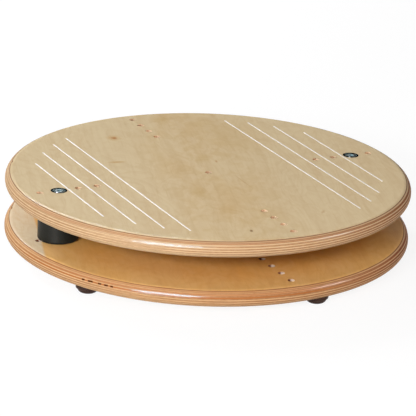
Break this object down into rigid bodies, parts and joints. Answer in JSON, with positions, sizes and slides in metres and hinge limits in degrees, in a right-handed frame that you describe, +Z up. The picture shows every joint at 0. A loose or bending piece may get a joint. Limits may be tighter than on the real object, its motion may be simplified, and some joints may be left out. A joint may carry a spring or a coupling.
{
  "type": "balance board",
  "caption": "Round balance board whose plywood top rocks and twists on rubber buffers above a plywood base with low feet.",
  "frame": {"origin": "on the floor under the centre of both boards", "axes": "+Z up, X through both rubber buffers, -Y the front"},
  "size_m": [0.4999, 0.5, 0.0922],
  "materials": {
    "plywood": "clear satin varnish on pale multiplex",
    "white_paint": "screen-printed matt white",
    "black_rubber": "moulded, satin",
    "plate_steel": "zinc plated",
    "bolt_steel": "dark zinc plated",
    "screw_steel": "zinc plated",
    "foot_rubber": "moulded, satin dark brown"
  },
  "bodies": {
    "base": {"base_board": "plywood", "left_buffer_base_plate": "plate_steel", "left_base_bolt": "bolt_steel", "right_buffer_base_plate": "plate_steel", "right_base_bolt": "bolt_steel", "foot_1": "foot_rubber", "foot_2": "foot_rubber", "foot_3": "foot_rubber", "foot_4": "foot_rubber", "foot_5": "foot_rubber", "foot_washer_1": "screw_steel", "foot_washer_2": "screw_steel", "foot_washer_3": "screw_steel", "foot_washer_4": "screw_steel", "foot_washer_5": "screw_steel", "foot_screw_1": "screw_steel", "foot_screw_2": "screw_steel", "foot_screw_3": "screw_steel", "foot_screw_4": "screw_steel", "foot_screw_5": "screw_steel"},
    "buffers": {"left_buffer_rubber": "black_rubber", "right_buffer_rubber": "black_rubber"},
    "top": {"top_board": "plywood", "stance_lines": "white_paint", "left_buffer_top_plate": "plate_steel", "left_top_bolt": "bolt_steel", "right_buffer_top_plate": "plate_steel", "right_top_bolt": "bolt_steel"}
  },
  "joints": [
    {"name": "twist", "type": "hinge", "parent": "base", "child": "buffers", "pos_m": [0, 0, 0.051], "axis": [0, 0, 1], "range_deg": [-2, 2], "stiffness_Nm_per_rad": 2500, "deforming": ["left_buffer_rubber", "right_buffer_rubber"]},
    {"name": "rock", "type": "hinge", "parent": "buffers", "child": "top", "pos_m": [0, 0, 0.051], "axis": [1, 0, 0], "range_deg": [-9, 9], "stiffness_Nm_per_rad": 60, "deforming": ["left_buffer_rubber", "right_buffer_rubber"]}
  ]
}
